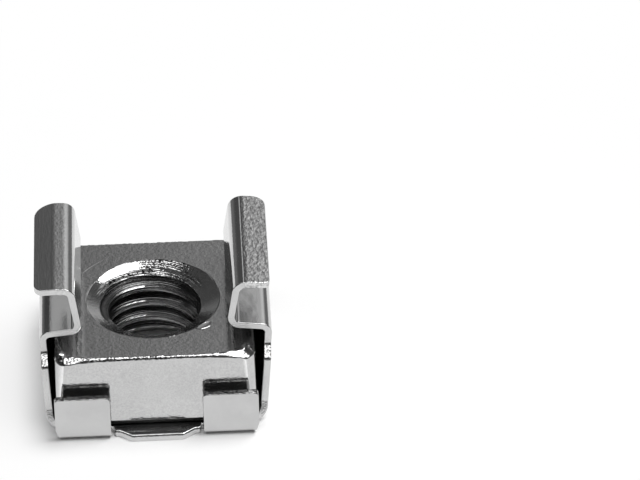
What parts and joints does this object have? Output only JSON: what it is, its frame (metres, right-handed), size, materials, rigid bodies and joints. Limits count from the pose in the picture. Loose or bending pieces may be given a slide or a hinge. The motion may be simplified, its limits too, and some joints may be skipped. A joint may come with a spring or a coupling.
{
  "type": "cage nut",
  "caption": "Square nut held loosely in a folded spring-steel cage whose two eared legs clip it into a square hole of a rack panel.",
  "frame": {"origin": "middle of the cage's underside, on the axis of the thread, where the nut stands on a flat surface", "axes": "+Z along the thread, from the base plate to the ears; X through the two spring legs; Y through the upturned tabs"},
  "size_m": [0.0129, 0.0132, 0.0088],
  "materials": {
    "plated_sheet": "bright plated spring steel sheet, slightly rippled, with satin sheared edges",
    "plated_nut": "bright plated steel with a fine orange-peel surface and burred edges"
  },
  "bodies": {
    "root": {"cage": "plated_sheet", "nut": "plated_nut"}
  },
  "joints": []
}
